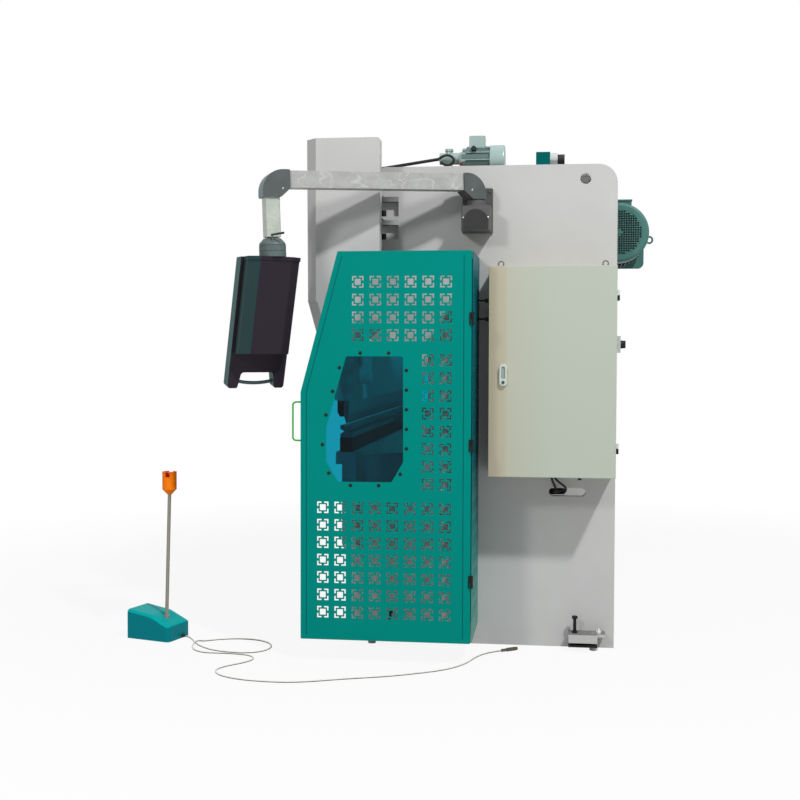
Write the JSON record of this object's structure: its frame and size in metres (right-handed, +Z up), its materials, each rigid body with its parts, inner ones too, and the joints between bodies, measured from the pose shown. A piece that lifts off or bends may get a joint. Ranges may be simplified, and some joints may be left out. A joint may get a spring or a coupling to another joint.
{
  "type": "cnc press brake",
  "caption": "Hydraulic CNC press brake with C-frame side plates, covered ram, perforated side guards, electrical cabinet, swinging control pendant, back gauge and a free foot pedal",
  "frame": {"origin": "On the floor, at the centre of the four anchor holes", "axes": "+X along the bed to the operator's right, +Y to the rear of the machine, +Z up"},
  "size_m": [4.1207, 2.6451, 2.5505],
  "materials": {
    "frame_paint": "satin",
    "guard_paint": "satin",
    "tinted_glass": "smooth",
    "handle_paint": "gloss",
    "black_steel": "satin",
    "tool_steel": "ground",
    "cabinet_paint": "textured",
    "black_plastic": "matt",
    "wrapped_tube": "film-wrapped",
    "arm_paint": "satin",
    "pendant_paint": "satin",
    "screen_glass": "gloss",
    "motor_paint": "satin",
    "pale_motor_paint": "cast",
    "pedal_paint": "gloss",
    "pole_paint": "satin",
    "stop_orange": "gloss",
    "stop_red": "gloss"
  },
  "bodies": {
    "frame": {"side_frame_right": "frame_paint", "side_frame_left": "frame_paint", "cylinder_right": "frame_paint", "cylinder_left": "frame_paint", "guard_wall_right": "guard_paint", "guard_wall_left": "guard_paint", "ram_guides": "tool_steel", "hinge_pins": "black_steel", "levelling_feet": "black_steel", "jack_screws": "tool_steel", "bed_beam": "frame_paint", "die_holder": "black_steel", "lower_die": "tool_steel", "oil_tank": "frame_paint", "rear_beam": "frame_paint", "cabinet_box": "cabinet_paint", "cabinet_fittings": "black_plastic", "switch_body": "black_plastic", "arm_bracket": "arm_paint", "main_motor": "motor_paint", "motor_cowl": "motor_paint", "motor_fittings": "black_plastic", "motor_mount": "motor_paint", "top_motor": "pale_motor_paint", "top_conduit": "black_plastic", "valve_block": "pale_motor_paint", "back_gauge": "tool_steel", "pedal_hood": "pedal_paint", "pedal_treadle": "black_plastic", "pedal_pole": "pole_paint", "stop_head": "stop_orange", "pedal_cord": "black_plastic", "cord_connector": "black_plastic"},
    "ram": {"ram_beam": "frame_paint", "ram_front_cover": "frame_paint", "ram_end_covers": "frame_paint", "punch_clamps": "tool_steel", "punches": "tool_steel", "cylinder_rods": "tool_steel"},
    "guard_right": {"guard_door_right": "guard_paint", "guard_window_right": "tinted_glass", "guard_handle_right": "handle_paint", "guard_hinges_right": "black_steel"},
    "guard_left": {"guard_door_left": "guard_paint", "guard_window_left": "tinted_glass", "guard_handle_left": "handle_paint", "guard_hinges_left": "black_steel"},
    "cabinet_leaf": {"cabinet_door": "cabinet_paint", "cabinet_lock": "tool_steel"},
    "knob": {"switch_knob": "black_plastic"},
    "arm": {"arm_elbows": "arm_paint", "arm_beam": "wrapped_tube", "drop_tube": "wrapped_tube"},
    "pendant": {"pendant_coupling": "wrapped_tube", "pendant_housing": "pendant_paint", "pendant_bezel": "pendant_paint", "pendant_panel": "screen_glass", "pendant_grip": "wrapped_tube"},
    "button": {"stop_button": "stop_red"}
  },
  "joints": [
    {"name": "ram_stroke", "type": "slide", "parent": "frame", "child": "ram", "axis": [0, 0, 1], "range_m": [0, 0.2]},
    {"name": "guard_door_right_hinge", "type": "hinge", "parent": "frame", "child": "guard_right", "pos_m": [1.858, -0.0225, 1], "axis": [0, 0, -1], "range_deg": [-110, 0]},
    {"name": "guard_door_left_hinge", "type": "hinge", "parent": "frame", "child": "guard_left", "pos_m": [-1.858, -0.0225, 1], "axis": [0, 0, 1], "range_deg": [-110, 0]},
    {"name": "cabinet_door_hinge", "type": "hinge", "parent": "frame", "child": "cabinet_leaf", "pos_m": [1.661, 0.647, 1.366], "axis": [0, 0, 1], "range_deg": [0, 110]},
    {"name": "switch_turn", "type": "hinge", "parent": "frame", "child": "knob", "pos_m": [1.56, 0.661, 1.497], "axis": [0, 1, 0], "range_deg": [0, 90]},
    {"name": "arm_swing", "type": "hinge", "parent": "frame", "child": "arm", "pos_m": [1.49, -0.032, 2.2], "axis": [0, 0, 1], "range_deg": [-7, 80]},
    {"name": "pendant_swivel", "type": "hinge", "parent": "arm", "child": "pendant", "pos_m": [1.9523, -0.93932, 1.92925], "axis": [0.0158, -0.0311, 0.9994], "range_deg": [-15, 90]},
    {"name": "stop_press", "type": "slide", "parent": "frame", "child": "button", "axis": [0, 0, -1], "range_m": [0, 0.005], "stiffness_N_per_m": 500, "springref_m": -0.004}
  ]
}
